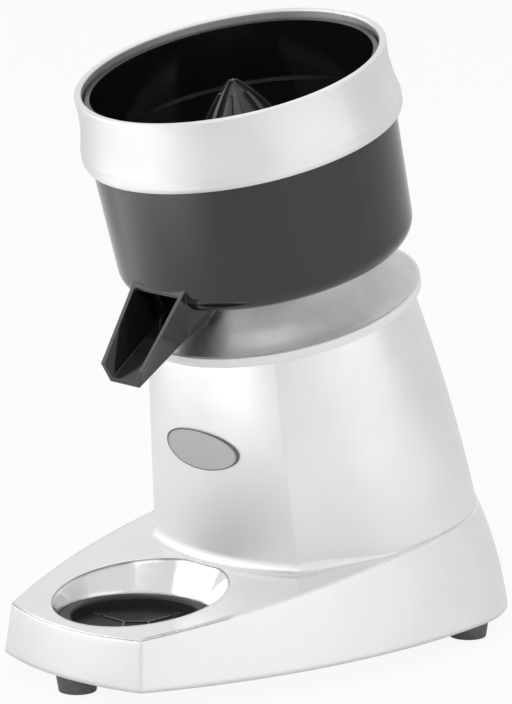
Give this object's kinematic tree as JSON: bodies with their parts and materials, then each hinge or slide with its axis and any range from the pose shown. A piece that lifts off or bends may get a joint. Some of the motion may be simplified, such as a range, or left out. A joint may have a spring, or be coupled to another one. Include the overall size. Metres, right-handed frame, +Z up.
{
  "type": "electric citrus juicer",
  "caption": "Electric citrus juicer: a ribbed cone on a motor shaft in a tilted bowl with an open spout, on a metal pedestal over a base with a well for the cup.",
  "frame": {"origin": "on the table, under the middle of the base", "axes": "+Z up, +X to the right of someone facing the spout's back, front and spout towards -Y"},
  "size_m": [0.192, 0.3, 0.3498],
  "materials": {
    "polished_aluminium": "polished casting",
    "satin_aluminium": "satin, as turned",
    "badge_metal": "brushed, bare",
    "bowl_plastic": "gloss, moulded",
    "cone_plastic": "gloss, moulded",
    "tray_plastic": "satin, moulded",
    "foot_rubber": "matte",
    "stainless_steel": "brushed",
    "zinc_steel": "zinc plated",
    "lamination_steel": "varnished laminations",
    "copper_wire": "enamelled copper",
    "bearing_steel": "ground",
    "black_plastic": "satin",
    "rocker_plastic": "gloss",
    "capacitor_can": "drawn can",
    "terminal_plastic": "moulded"
  },
  "bodies": {
    "stand": {"base_casting": "polished_aluminium", "bottom_cover": "stainless_steel", "cover_screws": "zinc_steel", "front_foot": "foot_rubber", "left_rear_foot": "foot_rubber", "right_rear_foot": "foot_rubber", "foot_screws": "zinc_steel", "motor_housing": "polished_aluminium", "housing_bolts": "zinc_steel", "badge_plate": "badge_metal", "switch_frame": "black_plastic", "switch_body": "black_plastic", "top_cover": "satin_aluminium", "collar_screws": "zinc_steel", "shaft_seal": "foot_rubber", "stator_core": "lamination_steel", "stator_windings": "copper_wire", "lower_end_shield": "satin_aluminium", "motor_through_bolts": "zinc_steel", "upper_bearing": "bearing_steel", "lower_bearing": "bearing_steel", "capacitor": "capacitor_can", "capacitor_clip": "stainless_steel", "terminal_block": "terminal_plastic", "cord_gland": "black_plastic"},
    "spindle": {"motor_shaft": "stainless_steel", "drive_pin": "stainless_steel", "rotor": "lamination_steel", "cooling_fan": "black_plastic", "upper_bearing_race": "bearing_steel", "lower_bearing_race": "bearing_steel"},
    "bowl": {"juice_bowl": "bowl_plastic"},
    "strainer": {"strainer": "stainless_steel"},
    "ring": {"splash_ring": "polished_aluminium"},
    "cone": {"squeezing_cone": "cone_plastic"},
    "tray": {"drip_tray": "tray_plastic"},
    "rocker": {"switch_rocker": "rocker_plastic"}
  },
  "joints": [
    {"name": "shaft_spin", "type": "hinge", "parent": "stand", "child": "spindle", "pos_m": [0, -0.0205, 0.3281], "axis": [0, -0.2541, 0.9672], "continuous": true},
    {"name": "bowl_lift", "type": "slide", "parent": "stand", "child": "bowl", "axis": [0, -0.2541, 0.9672], "range_m": [0, 0.15]},
    {"name": "cone_lift", "type": "slide", "parent": "spindle", "child": "cone", "axis": [0, -0.2541, 0.9672], "range_m": [0, 0.15]},
    {"name": "strainer_lift", "type": "slide", "parent": "bowl", "child": "strainer", "axis": [0, -0.2541, 0.9672], "range_m": [0, 0.11]},
    {"name": "ring_lift", "type": "slide", "parent": "bowl", "child": "ring", "axis": [0, -0.2541, 0.9672], "range_m": [0, 0.06]},
    {"name": "tray_lift", "type": "slide", "parent": "stand", "child": "tray", "axis": [0, 0, 1], "range_m": [0, 0.05]},
    {"name": "switch_rock", "type": "hinge", "parent": "stand", "child": "rocker", "pos_m": [-0.07876, 0.03025, 0.11172], "axis": [0.0824, -0.9966, 0], "range_deg": [-18, 0]}
  ],
  "couplings": [
    {"joint": "cone_lift", "follows": "bowl_lift", "ratio": 1}
  ]
}
